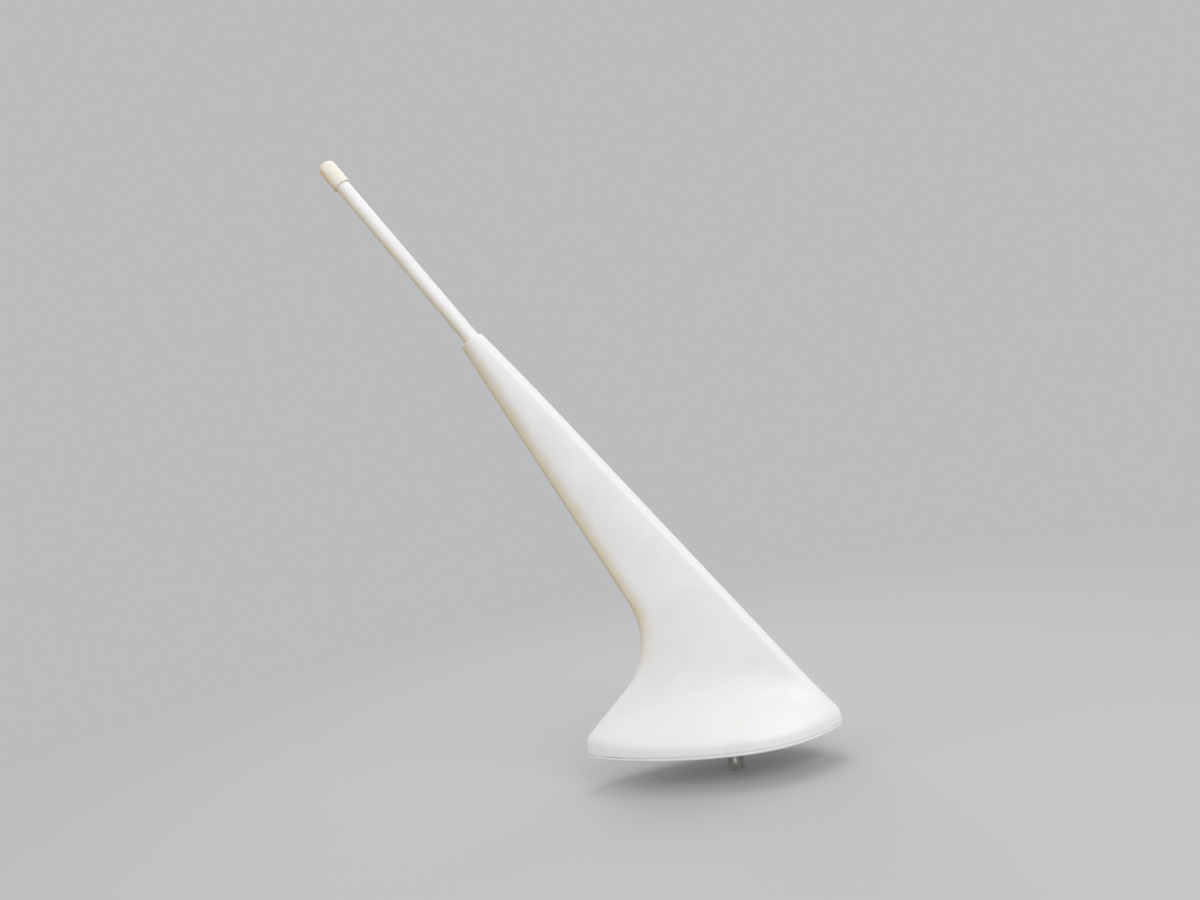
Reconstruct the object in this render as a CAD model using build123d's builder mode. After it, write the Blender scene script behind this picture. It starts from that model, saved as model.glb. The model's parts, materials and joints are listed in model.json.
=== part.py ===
from build123d import *
from math import cos, radians, sin, sqrt, tan
import os

# Swept VHF communication antenna for the skin of an aircraft, in millimetres.
# The origin is on the mounting plane, at the axis of the coaxial connector.
# +X is forward, +Z is out of the skin, and the fairing is symmetric about Y = 0.

# Base outline and rim
base_front = 66.1
base_aft = -88.4
base_half_width = 33.5
widest_share = 0.365
nose_radius = 6.2
tail_radius = 4.2
plate_edge = 2.0
plate_round = 1.5
plate_pad_top = 5.0
pad_inset = 2.5
seam_gap = 0.4
seam_depth = 0.35
rim_top = 9.0

# Side profile: leading edge that flares at its foot and bends aft near its top
leading_root = 70.7
leading_sweep = 33.2
foot_sweep = 36.1
foot_radius = 300.0
bend_start = 210.0
bend_depth = 1.5

# Side profile: straight trailing edge, and concave heel that meets the base above its rim
trailing_root = -8.1
trailing_sweep = 23.17
heel_foot = 11.5
heel_angle = 41.3
heel_radius = 46.6

# Thickness of the blade, and the flare that carries it out to the base
blade_half_root = 7.6
blade_half_top = 6.6
flare_angle = 40.0
flare_radius = 34.0
widest_share_top = 0.5

# Top face of the blade, and the whip's axis through its middle
top_centre_x = -112.8
top_centre_z = 266.2
top_tilt = 24.0
whip_sweep = 30.2
top_round = 1.8
loft_top = 273.0
loft_steps = 30

# Hollow of the moulded fairing
wall = 2.2
wall_drop = 1.7
cavity_top = 222.0
cavity_rim = 7.0
cavity_steps = 24
inner_round_share = 0.8
blade_bore_bottom = -56.0
blade_bore_top = 10.0

# Whip and cap, measured along the whip's axis from the middle of the blade's top face
whip_root_radius = 5.0
whip_tip_radius = 4.65
whip_bottom = -50.0
whip_end = 144.2
conductor_radius = 1.6
conductor_bottom = -67.0
conductor_top = 138.0
conductor_chamfer = 0.4
cap_radius = 5.75
cap_start = 128.3
cap_end = 146.3
cap_round = 3.6
cap_mouth_round = 0.4
cap_fit_gap = 0.09
cap_end_gap = 0.05
bead_length = 0.5
bead_radius = 5.15

# Socket that joins the whip's conductor to the radiator sheet
socket_radius = 4.0
socket_top = -54.0
socket_bottom = -78.0
slot_top = -68.0
rivet_radius = 1.0
rivet_levels = (-71.0, -75.0)

# Fixing holes in the base
hole_spacing_x = 64.0
hole_spacing_y = 28.0
boss_radius = 4.5
boss_top = 11.0
boss_round = 0.6
insert_outer_radius = 2.9
insert_bore_radius = 2.0
insert_start = 0.3
insert_length = 9.0
insert_end_gap = 0.3

# Coaxial connector
connector_length = 18.0
shoulder_radius = 6.35
shoulder_bottom = -5.5
shoulder_chamfer = 0.5
barrel_radius = 4.825
barrel_chamfer = 0.3
mouth_radius = 4.05
mouth_floor = -9.0
bead_seat_radius = 3.3
insulator_nose_radius = 2.38
insulator_neck_radius = 2.2
insulator_setback = 0.3
insulator_neck_rise = 1.0
lug_radius = 1.0
lug_reach = 5.5
lug_setback = 4.9
flange_size = 17.5
flange_spacing = 12.7
flange_thickness = 1.6
flange_corner = 1.5
gasket_thickness = 0.8
flange_screw_grip = 3.6
contact_radius = 1.1
contact_bore = 0.68
contact_bore_depth = 6.0
contact_setback = 0.8
contact_slot_width = 0.25
contact_slot_length = 4.5
stem_radius = 0.9
stem_top = 9.5
tail_pin_radius = 0.65
tail_pin_top = 17.2

# Matching board on its posts
board_length = 56.0
board_width = 24.0
board_bottom = 14.0
board_thickness = 1.6
board_corner = 2.0
pin_clearance = 0.1
post_spacing_x = 44.0
post_spacing_y = 16.0
post_across_flats = 5.0
screw_radius = 1.2
screw_clear_radius = 1.35
screw_depth = 4.0
stud_depth = 3.7
post_bore_depth = 5.0
board_screw_grip = 4.5
head_round = 0.7
recess_length = 2.4
recess_width = 0.6
recess_depth = 0.8
head_radius = 2.3
head_height = 1.6

# Coils: mean radius, wire radius, pitch and turns
series_coil_radius = 4.0
series_coil_turns = 6
series_coil_x = -21.0
shunt_coil_radius = 3.0
shunt_coil_turns = 4
shunt_coil_x = 15.0
coil_wire_radius = 0.5
coil_wire_sides = 8
coil_pitch = 2.2
coil_leg = 1.4
capacitor_y = 8.0
capacitor_size = (6.0, 4.0)
capacitor_height = 2.6
capacitor_chamfer = 0.4

# Radiator sheet, strap and foam in the blade
sheet_thickness = 0.8
sheet_bottom = 36.0
sheet_edge = 8.0
sheet_hole_radius = 3.0
sheet_hole_levels = (80, 105, 130, 155)
sheet_foot_half = 4.0
sheet_knee = 60.0
sheet_shoulder = 76.0
sheet_waist = 100.0
sheet_head = 185.0
sheet_tab_half = 3.0
sheet_tab_foot = -80.0
strap_thickness = 0.5
strap_width = 6.0
strap_x = 9.0
strap_top = 46.0
strap_rivet_level = 41.0
strap_foot = 4.5
strap_rivet_radius = 1.25
rivet_head_radius = 2.25
rivet_head_height = 0.6
tag_thickness = 0.4
tag_width = 3.0
tag_bend_x = 13.0
foam_bottom = 62.0
foam_gap = 0.15
foam_top = 221.7
foam_steps = 18
fit_gap = 0.03

os.makedirs("parts", exist_ok=True)


# Forms of the outer surface

leading_slope = -tan(radians(leading_sweep))
foot_slope = -tan(radians(foot_sweep))
trailing_slope = -tan(radians(trailing_sweep))
heel_slope = 1 / tan(radians(heel_angle))
flare_slope = -1 / tan(radians(flare_angle))


def joined_lines(z, low_line, high_line, radius):
    """Value at height z of two straight lines joined by an arc.

    A line is its value at z = 0 and its change per millimetre of height.
    """
    low_value, low_slope = low_line
    high_value, high_slope = high_line
    corner_z = (high_value - low_value) / (low_slope - high_slope)
    corner_value = low_value + low_slope * corner_z
    down = Vector(-low_slope, -1).normalized()
    up = Vector(high_slope, 1).normalized()
    half_angle = radians(down.get_angle(up)) / 2
    towards_centre = (down + up).normalized()
    centre = Vector(corner_value, corner_z) + towards_centre * (radius / sin(half_angle))
    reach = radius / tan(half_angle)
    if z <= corner_z + down.Y * reach:
        return low_value + low_slope * z
    if z >= corner_z + up.Y * reach:
        return high_value + high_slope * z
    side = 1 if corner_value > centre.X else -1
    return centre.X + side * sqrt(radius**2 - (z - centre.Y) ** 2)


def leading_edge(z):
    foot_line = (base_front - rim_top * foot_slope, foot_slope)
    blade_line = (leading_root, leading_slope)
    straight = joined_lines(max(z, rim_top), foot_line, blade_line, foot_radius)
    share_of_bend = max(z - bend_start, 0) / (loft_top - bend_start)
    return straight - bend_depth * share_of_bend**2


def trailing_edge(z):
    heel_line = (base_aft - heel_foot * heel_slope, heel_slope)
    blade_line = (trailing_root, trailing_slope)
    return joined_lines(max(z, heel_foot), heel_line, blade_line, heel_radius)


def half_thickness(z):
    flare_line = (base_half_width - rim_top * flare_slope, flare_slope)
    blade_line = (blade_half_root, (blade_half_top - blade_half_root) / top_centre_z)
    return joined_lines(max(z, rim_top), flare_line, blade_line, flare_radius)


def side_arc(length, half_width, tip_radius):
    """Middle and end of the arc from the widest station to the round tip it is tangent to."""
    reach = length - tip_radius
    radius = (reach**2 + half_width**2 - tip_radius**2) / (2 * (half_width - tip_radius))
    drop = radius - half_width
    towards_tip = Vector(reach, drop).normalized()
    halfway = (Vector(0, 1) + towards_tip).normalized()
    middle = Vector(0, -drop) + halfway * radius
    end = Vector(reach, 0) + towards_tip * tip_radius
    return middle, end


def draw_oval(front, aft, share, half_width, nose, tail):
    """Pointed oval with round tips, widest at a share of its length behind the front."""
    widest = front - (front - aft) * share
    nose_middle, nose_end = side_arc(front - widest, half_width, nose)
    tail_middle, tail_end = side_arc(widest - aft, half_width, tail)
    left = (widest, half_width)
    right = (widest, -half_width)
    nose_left = (widest + nose_end.X, nose_end.Y)
    nose_right = (widest + nose_end.X, -nose_end.Y)
    tail_left = (widest - tail_end.X, tail_end.Y)
    tail_right = (widest - tail_end.X, -tail_end.Y)
    ThreePointArc(left, (widest + nose_middle.X, nose_middle.Y), nose_left)
    ThreePointArc(nose_left, (front, 0), nose_right)
    ThreePointArc(nose_right, (widest + nose_middle.X, -nose_middle.Y), right)
    ThreePointArc(right, (widest - tail_middle.X, -tail_middle.Y), tail_right)
    ThreePointArc(tail_right, (aft, 0), tail_left)
    ThreePointArc(tail_left, (widest - tail_middle.X, tail_middle.Y), left)


def draw_section(level, inset):
    """Outline of the outer form at a level, drawn in by inset."""
    rise = max(level, rim_top) - rim_top
    share = widest_share + (widest_share_top - widest_share) * rise / loft_top
    front = leading_edge(level)
    aft = trailing_edge(level)
    widest = front - (front - aft) * share
    inner_share = (front - inset - widest) / (front - aft - 2 * inset)
    draw_oval(
        front - inset,
        aft + inset,
        inner_share,
        half_thickness(level) - inset,
        nose_radius - inner_round_share * inset,
        tail_radius - inner_round_share * inset,
    )


whip_direction = Vector(-sin(radians(whip_sweep)), 0, cos(radians(whip_sweep)))
top_centre = Vector(top_centre_x, 0, top_centre_z)
top_normal = Vector(-sin(radians(top_tilt)), 0, cos(radians(top_tilt)))


def across_whip(distance):
    """Plane square to the whip's axis, at a distance from the middle of the blade's top face."""
    origin = top_centre + whip_direction * distance
    return Plane(origin=origin, x_dir=(0, 1, 0), z_dir=whip_direction)


def along_whip(distance, sideways=0.0):
    """Point in the plane Y = 0 at a distance along the whip's axis and to its forward side."""
    forward = Vector(cos(radians(whip_sweep)), 0, sin(radians(whip_sweep)))
    point = top_centre + whip_direction * distance + forward * sideways
    return (point.X, point.Z)


def levels_between(low, high, steps):
    """Evenly spaced heights from low to high."""
    return [low + (high - low) * step / steps for step in range(steps + 1)]


# Fairing: one hollow moulding, from the rim of the base to the face that the whip leaves

seat = plate_edge + seam_gap
with BuildPart() as fairing:
    with BuildSketch(Plane.XY.offset(seat)):
        with BuildLine():
            draw_section(rim_top, 0)
        make_face()
    extrude(amount=rim_top - seat)
    for level in levels_between(rim_top, loft_top, loft_steps):
        with BuildSketch(Plane.XY.offset(level)):
            with BuildLine():
                draw_section(level, 0)
            make_face()
    loft()
    split(bisect_by=Plane(origin=top_centre, z_dir=top_normal), keep=Keep.BOTTOM)
    fillet(fairing.faces().sort_by(Axis.Z)[-1].edges(), top_round)
    # hollow: the rim stretch, then the blade up to the solid head that holds the whip
    with BuildSketch(Plane.XY.offset(seat)):
        with BuildLine():
            draw_section(rim_top, wall)
        make_face()
    extrude(amount=cavity_rim - seat, mode=Mode.SUBTRACT)
    for level in levels_between(cavity_rim, cavity_top, cavity_steps):
        with BuildSketch(Plane.XY.offset(level)):
            with BuildLine():
                draw_section(level + wall_drop, wall)
            make_face()
    loft(mode=Mode.SUBTRACT)
    # bore for the whip
    with BuildSketch(across_whip(blade_bore_bottom)):
        Circle(whip_root_radius + fit_gap)
    extrude(amount=blade_bore_top - blade_bore_bottom, mode=Mode.SUBTRACT)
fairing.part.label = "fairing"
export_step(fairing.part, "parts/fairing.step")


# Base plate: a thin edge, rounded below, under the fairing's rim; a thicker pad inside it; four bosses

hole_places = GridLocations(hole_spacing_x, hole_spacing_y, 2, 2)
shoulder_clearance = 0.1
with BuildPart() as base_plate:
    with BuildSketch(Plane.XY):
        with BuildLine():
            draw_section(rim_top, 0)
        make_face()
    extrude(amount=plate_edge)
    fillet(base_plate.edges().group_by(Axis.Z)[0], plate_round)
    with BuildSketch(Plane.XY.offset(plate_edge)):
        with BuildLine():
            draw_section(rim_top, pad_inset)
        make_face()
    extrude(amount=plate_pad_top - plate_edge)
    with BuildSketch(Plane.XY.offset(plate_pad_top)):
        with hole_places:
            Circle(boss_radius)
    extrude(amount=boss_top - plate_pad_top)
    fillet(base_plate.edges().group_by(Axis.Z)[-1], boss_round)
    # blind holes for the thread inserts, open underneath
    with BuildSketch(Plane.XY):
        with hole_places:
            Circle(insert_outer_radius + fit_gap)
    extrude(amount=insert_start + insert_length + insert_end_gap, mode=Mode.SUBTRACT)
    # opening for the connector's shoulder
    with BuildSketch(Plane.XY):
        Circle(shoulder_radius + shoulder_clearance)
    extrude(amount=plate_pad_top, mode=Mode.SUBTRACT)
    # tapped holes for the connector's screws and for the board posts
    with BuildSketch(Plane.XY.offset(plate_pad_top)):
        with GridLocations(flange_spacing, flange_spacing, 2, 2):
            Circle(screw_radius + fit_gap)
        with GridLocations(post_spacing_x, post_spacing_y, 2, 2):
            Circle(screw_radius + fit_gap)
    extrude(amount=-screw_depth, mode=Mode.SUBTRACT)
base_plate.part.label = "base_plate"
export_step(base_plate.part, "parts/base_plate.step")


# Sealant in the seam between the fairing's rim and the base plate

with BuildPart() as seam_sealant:
    with BuildSketch(Plane.XY.offset(plate_edge)):
        with BuildLine():
            draw_section(rim_top, seam_depth)
        make_face()
        with BuildLine():
            draw_section(rim_top, wall)
        make_face(mode=Mode.SUBTRACT)
    extrude(amount=seam_gap)
seam_sealant.part.label = "seam_sealant"
export_step(seam_sealant.part, "parts/seam_sealant.step")


# Thread inserts: stainless sleeves in the four bosses, with the thread left off

with BuildPart() as thread_inserts:
    with BuildSketch(Plane.XY.offset(insert_start)):
        with hole_places:
            Circle(insert_outer_radius)
            Circle(insert_bore_radius, mode=Mode.SUBTRACT)
    extrude(amount=insert_length)
thread_inserts.part.label = "thread_inserts"
export_step(thread_inserts.part, "parts/thread_inserts.step")


# Whip: a tapered glass-fibre tube, seated in the head of the fairing

with BuildPart() as whip_tube:
    with BuildSketch(across_whip(whip_bottom)):
        Circle(whip_root_radius)
    extrude(amount=-whip_bottom)
    with BuildSketch(across_whip(0)):
        Circle(whip_root_radius)
    with BuildSketch(across_whip(whip_end)):
        Circle(whip_tip_radius)
    loft()
    with BuildSketch(across_whip(whip_bottom)):
        Circle(conductor_radius + fit_gap)
    extrude(amount=whip_end - whip_bottom, mode=Mode.SUBTRACT)
whip_tube.part.label = "whip_tube"
export_step(whip_tube.part, "parts/whip_tube.step")


# Conductor: a straight rod down the middle of the whip, into the socket below it

with BuildPart() as whip_conductor:
    with BuildSketch(across_whip(conductor_bottom)):
        Circle(conductor_radius)
    extrude(amount=conductor_top - conductor_bottom)
    chamfer(whip_conductor.edges().group_by(Axis.Z)[-1], conductor_chamfer)
whip_conductor.part.label = "whip_conductor"
export_step(whip_conductor.part, "parts/whip_conductor.step")


# Tip cap: a moulded cap with a round end, pushed over the whip

with BuildPart() as tip_cap:
    with BuildSketch(across_whip(cap_start)):
        Circle(cap_radius)
    extrude(amount=cap_end - cap_start)
    fillet(tip_cap.edges().group_by(Axis.Z)[-1], cap_round)
    with BuildSketch(across_whip(cap_start)):
        Circle(whip_tip_radius + cap_fit_gap)
    extrude(amount=whip_end - cap_start + cap_end_gap, mode=Mode.SUBTRACT)
    fillet(tip_cap.faces().sort_by(Axis.Z)[0].edges().sort_by(Edge.length)[-1], cap_mouth_round)
tip_cap.part.label = "tip_cap"
export_step(tip_cap.part, "parts/tip_cap.step")


# Sealant bead under the cap's mouth

with BuildPart() as cap_sealant:
    with BuildSketch(across_whip(cap_start - bead_length)):
        Circle(bead_radius)
        Circle(whip_tip_radius + cap_fit_gap, mode=Mode.SUBTRACT)
    extrude(amount=bead_length)
cap_sealant.part.label = "cap_sealant"
export_step(cap_sealant.part, "parts/cap_sealant.step")


# Socket: a brass sleeve that takes the conductor above and the radiator sheet in a slot below

with BuildPart() as whip_socket:
    with BuildSketch(across_whip(socket_bottom)):
        Circle(socket_radius)
    extrude(amount=socket_top - socket_bottom)
    with BuildSketch(across_whip(conductor_bottom)):
        Circle(conductor_radius + fit_gap)
    extrude(amount=socket_top - conductor_bottom, mode=Mode.SUBTRACT)
    with BuildSketch(across_whip(socket_bottom)):
        Rectangle(sheet_thickness + 2 * fit_gap, 3 * socket_radius)
    extrude(amount=slot_top - socket_bottom, mode=Mode.SUBTRACT)
    for level in rivet_levels:
        with BuildSketch(Plane.XZ.offset(-2 * socket_radius)):
            with Locations(along_whip(level)):
                Circle(rivet_radius + fit_gap)
        extrude(amount=4 * socket_radius, mode=Mode.SUBTRACT)
whip_socket.part.label = "whip_socket"
export_step(whip_socket.part, "parts/whip_socket.step")


# Radiator: a brass sheet in the middle plane of the blade, with holes that key it to the foam

with BuildPart() as blade_radiator:
    with BuildSketch(Plane.XZ.offset(-sheet_thickness / 2)):
        with BuildLine():
            Polyline(
                (strap_x - sheet_foot_half, sheet_bottom),
                (strap_x + sheet_foot_half, sheet_bottom),
                (leading_edge(sheet_knee) - 1.5 * sheet_edge, sheet_knee),
                (leading_edge(sheet_shoulder) - sheet_edge, sheet_shoulder),
                (leading_edge(sheet_head) - sheet_edge, sheet_head),
                along_whip(sheet_tab_foot, sheet_tab_half),
                along_whip(slot_top - fit_gap, sheet_tab_half),
                along_whip(slot_top - fit_gap, -sheet_tab_half),
                along_whip(sheet_tab_foot, -sheet_tab_half),
                (trailing_edge(sheet_head) + sheet_edge, sheet_head),
                (trailing_edge(sheet_waist) + sheet_edge, sheet_waist),
                (trailing_edge(sheet_shoulder) + sheet_edge, sheet_shoulder),
                close=True,
            )
        make_face()
        for level in sheet_hole_levels:
            with Locations(((leading_edge(level) + trailing_edge(level)) / 2, level)):
                Circle(sheet_hole_radius, mode=Mode.SUBTRACT)
        for level in rivet_levels:
            with Locations(along_whip(level)):
                Circle(rivet_radius + fit_gap, mode=Mode.SUBTRACT)
        with Locations((strap_x, strap_rivet_level)):
            Circle(strap_rivet_radius + fit_gap, mode=Mode.SUBTRACT)
    extrude(amount=sheet_thickness)
blade_radiator.part.label = "blade_radiator"
export_step(blade_radiator.part, "parts/blade_radiator.step")


# Rivets through the socket and the sheet

with BuildPart() as socket_rivets:
    for level in rivet_levels:
        with BuildSketch(Plane.XZ.offset(-socket_radius)):
            with Locations(along_whip(level)):
                Circle(rivet_radius)
        extrude(amount=2 * socket_radius)
socket_rivets.part.label = "socket_rivets"
export_step(socket_rivets.part, "parts/socket_rivets.step")


# Foam: rigid fill that holds the sheet and the socket in the middle of the blade

with BuildPart() as foam_core:
    for level in levels_between(foam_bottom, foam_top, foam_steps):
        with BuildSketch(Plane.XY.offset(level)):
            with BuildLine():
                draw_section(level + wall_drop, wall + foam_gap)
            make_face()
    loft()
    with BuildSketch(across_whip(socket_bottom - foam_gap)):
        Circle(socket_radius + foam_gap)
    extrude(amount=-socket_bottom, mode=Mode.SUBTRACT)
    with BuildSketch(across_whip(whip_bottom - foam_gap)):
        Circle(whip_root_radius + foam_gap)
    extrude(amount=-whip_bottom, mode=Mode.SUBTRACT)
    add(blade_radiator.part, mode=Mode.SUBTRACT)
foam_core.part.label = "foam_core"
export_step(foam_core.part, "parts/foam_core.step")


# Matching board on four posts

post_places = GridLocations(post_spacing_x, post_spacing_y, 2, 2)
board_top = board_bottom + board_thickness
with BuildPart() as matching_board:
    with BuildSketch(Plane.XY.offset(board_bottom)):
        RectangleRounded(board_length, board_width, board_corner)
        with post_places:
            Circle(screw_clear_radius, mode=Mode.SUBTRACT)
        Circle(tail_pin_radius + pin_clearance, mode=Mode.SUBTRACT)
    extrude(amount=board_thickness)
matching_board.part.label = "matching_board"
export_step(matching_board.part, "parts/matching_board.step")

with BuildPart() as board_posts:
    with BuildSketch(Plane.XY.offset(plate_pad_top)):
        with post_places:
            RegularPolygon(post_across_flats / 2, 6, major_radius=False)
    extrude(amount=board_bottom - plate_pad_top)
    with BuildSketch(Plane.XY.offset(plate_pad_top)):
        with post_places:
            Circle(screw_radius)
    extrude(amount=-stud_depth)
    with BuildSketch(Plane.XY.offset(board_bottom)):
        with post_places:
            Circle(screw_radius + fit_gap)
    extrude(amount=-post_bore_depth, mode=Mode.SUBTRACT)
board_posts.part.label = "board_posts"
export_step(board_posts.part, "parts/board_posts.step")


def pan_head_screw(head_seat, length):
    """Screw with a pan head and a cross recess, standing on the point below its head."""
    with BuildPart(mode=Mode.PRIVATE) as screw:
        with BuildSketch(Plane.XY.offset(head_seat)):
            Circle(head_radius)
        extrude(amount=head_height)
        fillet(screw.edges().group_by(Axis.Z)[-1], head_round)
        with BuildSketch(Plane.XY.offset(head_seat + head_height)):
            Rectangle(recess_length, recess_width)
            Rectangle(recess_width, recess_length)
        extrude(amount=-recess_depth, mode=Mode.SUBTRACT)
        with BuildSketch(Plane.XY.offset(head_seat)):
            Circle(screw_radius)
        extrude(amount=-length)
    return screw.part


board_screw = pan_head_screw(board_top, board_thickness + board_screw_grip)
with BuildPart() as board_screws:
    with post_places:
        add(board_screw)
board_screws.part.label = "board_screws"
export_step(board_screws.part, "parts/board_screws.step")


# Connector: a square-flanged bayonet jack, fixed to the pad from inside

flange_bottom = plate_pad_top + gasket_thickness
flange_top = flange_bottom + flange_thickness
mouth = -connector_length
flange_hole_places = GridLocations(flange_spacing, flange_spacing, 2, 2)
with BuildPart() as connector_shell:
    with BuildSketch(Plane.XY.offset(flange_bottom)):
        RectangleRounded(flange_size, flange_size, flange_corner)
        with flange_hole_places:
            Circle(screw_clear_radius, mode=Mode.SUBTRACT)
    extrude(amount=flange_thickness)
    with BuildSketch(Plane.XZ):
        with BuildLine():
            Polyline(
                (bead_seat_radius, flange_bottom),
                (shoulder_radius, flange_bottom),
                (shoulder_radius, shoulder_bottom + shoulder_chamfer),
                (shoulder_radius - shoulder_chamfer, shoulder_bottom),
                (barrel_radius, shoulder_bottom),
                (barrel_radius, mouth + barrel_chamfer),
                (barrel_radius - barrel_chamfer, mouth),
                (mouth_radius, mouth),
                (mouth_radius, mouth_floor),
                (bead_seat_radius, mouth_floor),
                close=True,
            )
        make_face()
    revolve(axis=Axis.Z)
    with BuildSketch(Plane.XZ.offset(-lug_reach)):
        with Locations((0, mouth + lug_setback)):
            Circle(lug_radius)
    extrude(amount=2 * lug_reach)
    # clear the mouth and the seat of the insulator again
    with BuildSketch(Plane.XY.offset(mouth)):
        Circle(mouth_radius)
    extrude(amount=mouth_floor - mouth, mode=Mode.SUBTRACT)
    with BuildSketch(Plane.XY.offset(mouth_floor)):
        Circle(bead_seat_radius)
    extrude(amount=flange_bottom - mouth_floor, mode=Mode.SUBTRACT)
    with BuildSketch(Plane.XY.offset(flange_bottom)):
        Circle(insulator_neck_radius + fit_gap)
    extrude(amount=flange_thickness, mode=Mode.SUBTRACT)
connector_shell.part.label = "connector_shell"
export_step(connector_shell.part, "parts/connector_shell.step")

with BuildPart() as connector_insulator:
    with BuildSketch(Plane.XY.offset(mouth + insulator_setback)):
        Circle(insulator_nose_radius)
    extrude(amount=mouth_floor - mouth - insulator_setback)
    with BuildSketch(Plane.XY.offset(mouth_floor)):
        Circle(bead_seat_radius - fit_gap)
    extrude(amount=flange_bottom - mouth_floor - fit_gap)
    with BuildSketch(Plane.XY.offset(flange_bottom - fit_gap)):
        Circle(insulator_neck_radius)
    extrude(amount=flange_thickness + insulator_neck_rise)
    with BuildSketch(Plane.XY.offset(mouth)):
        Circle(contact_radius + fit_gap)
    extrude(amount=mouth_floor - mouth, mode=Mode.SUBTRACT)
    with BuildSketch(Plane.XY.offset(mouth_floor)):
        Circle(stem_radius + fit_gap)
    extrude(amount=board_bottom - mouth_floor, mode=Mode.SUBTRACT)
connector_insulator.part.label = "connector_insulator"
export_step(connector_insulator.part, "parts/connector_insulator.step")

contact_tip = mouth + contact_setback
with BuildPart() as connector_contact:
    with BuildSketch(Plane.XY.offset(contact_tip)):
        Circle(contact_radius)
    extrude(amount=mouth_floor - contact_tip)
    with BuildSketch(Plane.XY.offset(mouth_floor)):
        Circle(stem_radius)
    extrude(amount=stem_top - mouth_floor)
    with BuildSketch(Plane.XY.offset(stem_top)):
        Circle(tail_pin_radius)
    extrude(amount=tail_pin_top - stem_top)
    with BuildSketch(Plane.XY.offset(contact_tip)):
        Circle(contact_bore)
    extrude(amount=contact_bore_depth, mode=Mode.SUBTRACT)
    # two crossed slots make the four spring fingers
    with BuildSketch(Plane.XY.offset(contact_tip)):
        Rectangle(3 * contact_radius, contact_slot_width)
        Rectangle(contact_slot_width, 3 * contact_radius)
    extrude(amount=contact_slot_length, mode=Mode.SUBTRACT)
connector_contact.part.label = "connector_contact"
export_step(connector_contact.part, "parts/connector_contact.step")

with BuildPart() as connector_gasket:
    with BuildSketch(Plane.XY.offset(plate_pad_top)):
        RectangleRounded(flange_size, flange_size, flange_corner)
        Circle(shoulder_radius + shoulder_clearance, mode=Mode.SUBTRACT)
        with flange_hole_places:
            Circle(screw_clear_radius, mode=Mode.SUBTRACT)
    extrude(amount=gasket_thickness)
connector_gasket.part.label = "connector_gasket"
export_step(connector_gasket.part, "parts/connector_gasket.step")

# Earth tag under one of the connector's screws, bent up to the board

tag_x = flange_spacing / 2
with BuildPart() as earth_tag:
    with BuildSketch(Plane.XY.offset(flange_top)):
        with Locations((tag_x, tag_x)):
            Circle(head_radius)
        with Locations(((tag_x + tag_bend_x) / 2, tag_x)):
            Rectangle(tag_bend_x - tag_x, tag_width)
        with Locations((tag_x, tag_x)):
            Circle(screw_clear_radius, mode=Mode.SUBTRACT)
    extrude(amount=tag_thickness)
    with BuildSketch(Plane.XY.offset(flange_top)):
        with Locations((tag_bend_x - tag_thickness / 2, tag_x)):
            Rectangle(tag_thickness, tag_width)
    extrude(amount=board_bottom - flange_top)
earth_tag.part.label = "earth_tag"
export_step(earth_tag.part, "parts/earth_tag.step")

flange_screw_length = flange_thickness + gasket_thickness + flange_screw_grip
plain_screw = pan_head_screw(flange_top, flange_screw_length)
raised_screw = pan_head_screw(flange_top + tag_thickness, flange_screw_length)
with BuildPart() as connector_screws:
    with Locations((-tag_x, -tag_x), (-tag_x, tag_x), (tag_x, -tag_x)):
        add(plain_screw)
    with Locations((tag_x, tag_x)):
        add(raised_screw)
connector_screws.part.label = "connector_screws"
export_step(connector_screws.part, "parts/connector_screws.step")


# Coils: wire of eight flat sides wound on air, each with two straight legs down to the board


def coil(start_x, mean_radius, turns):
    """A coil along X from start_x, standing on the board."""
    axis_z = board_top + coil_leg + mean_radius
    with BuildPart(mode=Mode.PRIVATE) as winding:
        with BuildLine() as path:
            Helix(
                coil_pitch,
                coil_pitch * turns,
                mean_radius,
                center=(start_x, 0, axis_z),
                direction=(1, 0, 0),
            )
        with BuildSketch(Plane(origin=path.line @ 0, z_dir=path.line % 0)):
            RegularPolygon(coil_wire_radius, coil_wire_sides)
        sweep(is_frenet=True)
        for end in (path.line @ 0, path.line @ 1):
            with BuildSketch(Plane.XY.offset(board_top)):
                with Locations((end.X, end.Y)):
                    RegularPolygon(coil_wire_radius, coil_wire_sides)
            extrude(amount=end.Z - board_top)
    return winding.part


with BuildPart() as series_coil:
    add(coil(series_coil_x, series_coil_radius, series_coil_turns))
series_coil.part.label = "series_coil"
export_step(series_coil.part, "parts/series_coil.step")

with BuildPart() as shunt_coil:
    add(coil(shunt_coil_x, shunt_coil_radius, shunt_coil_turns))
shunt_coil.part.label = "shunt_coil"
export_step(shunt_coil.part, "parts/shunt_coil.step")


# Capacitors: two moulded blocks, one on each side of the contact's pin

with BuildPart() as matching_capacitors:
    with BuildSketch(Plane.XY.offset(board_top)):
        with Locations((0, -capacitor_y), (0, capacitor_y)):
            Rectangle(*capacitor_size)
    extrude(amount=capacitor_height)
    chamfer(matching_capacitors.edges().group_by(Axis.Z)[-1], capacitor_chamfer)
matching_capacitors.part.label = "matching_capacitors"
export_step(matching_capacitors.part, "parts/matching_capacitors.step")


# Feed strap: a thin strip from the board up to the foot of the radiator sheet

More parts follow.
